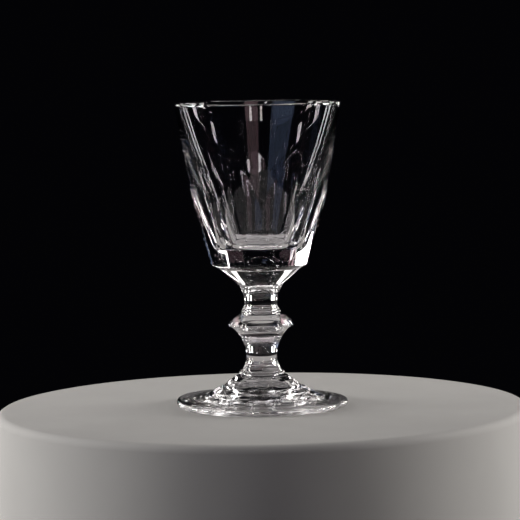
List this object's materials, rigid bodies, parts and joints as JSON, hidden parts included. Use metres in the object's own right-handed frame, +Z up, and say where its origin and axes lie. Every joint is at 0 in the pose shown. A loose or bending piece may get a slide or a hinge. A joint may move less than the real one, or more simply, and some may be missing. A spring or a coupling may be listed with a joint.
{
  "type": "wine glass",
  "caption": "Small stemmed wine glass with a panel-cut bucket bowl on a solid faceted block, a bladed knop between collars, and a wide conical foot.",
  "frame": {"origin": "centre of the circle that the foot stands on", "axes": "+Z up along the axis of the stem, towards the rim; -Y is the side that one edge between two cut panels faces"},
  "size_m": [0.0646, 0.0646, 0.114],
  "materials": {
    "crystal": "clear lead crystal, fire-polished lip, wheel-cut and polished panels, faint seeds and tool marks"
  },
  "bodies": {
    "root": {"bowl": "crystal", "neck": "crystal", "upper_collar": "crystal", "knop": "crystal", "lower_stem": "crystal", "foot_ring": "crystal", "foot": "crystal"}
  },
  "joints": []
}
